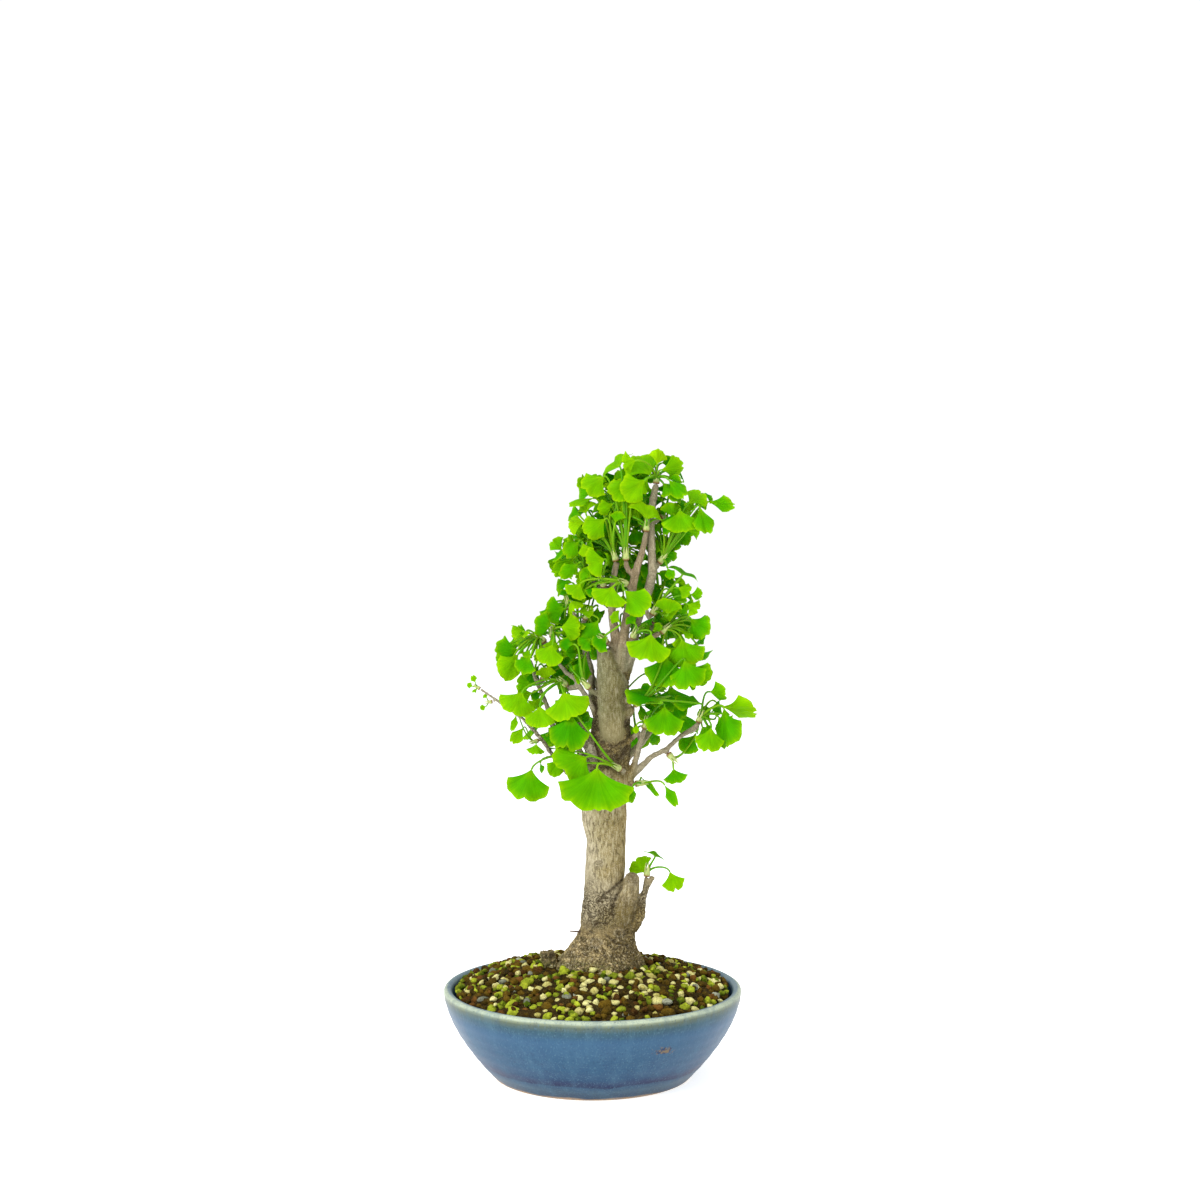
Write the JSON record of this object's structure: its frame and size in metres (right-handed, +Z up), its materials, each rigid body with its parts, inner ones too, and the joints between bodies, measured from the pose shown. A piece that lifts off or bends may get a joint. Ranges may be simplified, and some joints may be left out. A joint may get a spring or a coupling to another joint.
{
  "type": "ginkgo bonsai",
  "caption": "Small ginkgo tree with a thick trunk, cut stumps and fan-shaped leaves, growing from a mound of granular soil in a round shallow glazed pot.",
  "frame": {"origin": "centre of the pot's flat underside, on the surface it stands on", "axes": "+Z up along the trunk; the front of the tree faces -Y; +X to the right of a person facing the front"},
  "size_m": [0.2102, 0.2, 0.4194],
  "materials": {
    "glaze": "satin",
    "soil": "matte",
    "bark": "matte",
    "leaf": "satin",
    "screen": "matte"
  },
  "bodies": {
    "root": {"pot": "glaze", "soil": "soil", "drain_screen_left": "screen", "drain_screen_right": "screen", "tree_wood": "bark", "leaves_top": "leaf", "leaves_leader": "leaf", "leaves_high_right": "leaf", "leaves_high_left": "leaf", "leaves_high_middle": "leaf", "leaves_left_crown": "leaf", "leaves_left_inner": "leaf", "leaves_middle_front": "leaf", "leaves_left_tip": "leaf", "leaves_left_end": "leaf", "leaves_left_fork": "leaf", "leaves_left_low": "leaf", "leaves_inner_left": "leaf", "leaves_inner_middle": "leaf", "leaves_inner_right": "leaf", "leaves_right_high": "leaf", "leaves_right_middle": "leaf", "leaves_left_middle": "leaf", "leaves_trunk_left": "leaf", "leaves_trunk_right": "leaf", "leaves_cut_twig": "leaf", "leaves_right_end": "leaf", "leaves_right_low": "leaf", "leaves_low_front": "leaf", "leaves_low_left": "leaf", "leaves_low_right": "leaf", "leaves_foot": "leaf", "leaves_twig_end": "leaf", "leaves_twig_side": "leaf", "leaves_twig_middle": "leaf", "leaves_back_low": "leaf", "leaves_back_right": "leaf", "leaves_back_right_inner": "leaf", "leaves_back_middle": "leaf", "leaves_back_trunk": "leaf", "leaves_back_high": "leaf", "leaves_back_high_inner": "leaf", "leaves_back_leader": "leaf", "leaves_back_crown": "leaf", "leaves_back_top": "leaf"}
  },
  "joints": []
}
